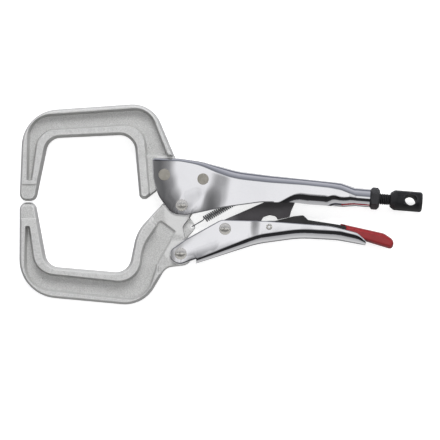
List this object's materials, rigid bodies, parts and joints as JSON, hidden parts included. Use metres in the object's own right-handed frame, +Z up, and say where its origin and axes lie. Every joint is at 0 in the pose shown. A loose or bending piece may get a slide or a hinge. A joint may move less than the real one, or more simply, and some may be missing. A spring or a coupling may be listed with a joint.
{
  "type": "locking c-clamp pliers",
  "caption": "Locking C-clamp pliers: deep forged C jaws, chromed sheet handles, over-centre toggle link, release lever with red vinyl grip, return spring and cross-drilled adjusting screw.",
  "frame": {"origin": "centre of the footprint of the tool lying flat on its side, on the bench", "axes": "+X along the tool towards the adjusting screw's head, +Y from the moving jaw towards the fixed jaw, +Z up from the bench, along every hinge axis"},
  "size_m": [0.2809, 0.1394, 0.019],
  "materials": {
    "forged_jaw": "fine shot-blasted matte grey, rims and edges a little brighter",
    "chromed_sheet": "bright polished chrome plate",
    "rivet_steel": "satin nickel",
    "flush_rivet": "dull ground steel",
    "dark_steel": "charcoal phosphate, satin",
    "black_steel": "black, semi-gloss",
    "washer_steel": "plain zinc",
    "red_vinyl": "dipped red vinyl, soft gloss",
    "spring_steel": "bright drawn wire",
    "black_oxide": "black oxide, oily semi-gloss"
  },
  "bodies": {
    "frame_body": {"upper_handle": "chromed_sheet", "fixed_jaw": "forged_jaw", "fixed_jaw_rivet_front": "flush_rivet", "fixed_jaw_rivet_rear": "flush_rivet", "jaw_pivot_rivet": "rivet_steel", "return_spring": "spring_steel"},
    "jaw_body": {"moving_jaw": "forged_jaw"},
    "handle_body": {"lower_handle": "chromed_sheet", "handle_pivot_rivet": "rivet_steel", "link_pivot_rivet": "rivet_steel", "link_spacer_near": "washer_steel", "link_spacer_far": "washer_steel", "lever_rivet": "rivet_steel"},
    "link_body": {"toggle_link": "dark_steel"},
    "lever_body": {"release_lever": "black_steel", "lever_grip": "red_vinyl"},
    "nut_body": {"jam_nut": "black_oxide"},
    "screw_body": {"adjusting_screw": "black_oxide"}
  },
  "joints": [
    {"name": "jaw_open", "type": "hinge", "parent": "frame_body", "child": "jaw_body", "pos_m": [-0.02729, -0.00064, 0.0095], "axis": [0, 0, 1], "range_deg": [0, 25], "deforming": ["return_spring"]},
    {"name": "handle_swing", "type": "hinge", "parent": "jaw_body", "child": "handle_body", "pos_m": [-0.02809, -0.03424, 0.0095], "axis": [0, 0, 1], "range_deg": [-65.5, 0]},
    {"name": "link_swing", "type": "hinge", "parent": "handle_body", "child": "link_body", "pos_m": [0.00271, -0.01704, 0.0095], "axis": [0, 0, 1], "range_deg": [0, 69]},
    {"name": "lever_release", "type": "hinge", "parent": "handle_body", "child": "lever_body", "pos_m": [0.03331, -0.01564, 0.0095], "axis": [0, 0, 1], "range_deg": [0, 8]},
    {"name": "screw_advance", "type": "slide", "parent": "frame_body", "child": "nut_body", "axis": [0.9968, -0.0802, 0], "range_m": [0, 0.01]},
    {"name": "screw_turn", "type": "hinge", "parent": "nut_body", "child": "screw_body", "pos_m": [0.1316, 0.00208, 0.0095], "axis": [0.9968, -0.0802, 0], "range_deg": [0, 2880]}
  ],
  "couplings": [
    {"joint": "handle_swing", "follows": "jaw_open", "ratio": -2.6031},
    {"joint": "link_swing", "follows": "jaw_open", "ratio": 2.7357},
    {"joint": "screw_turn", "follows": "screw_advance", "rad_per_m": 5026.5}
  ]
}
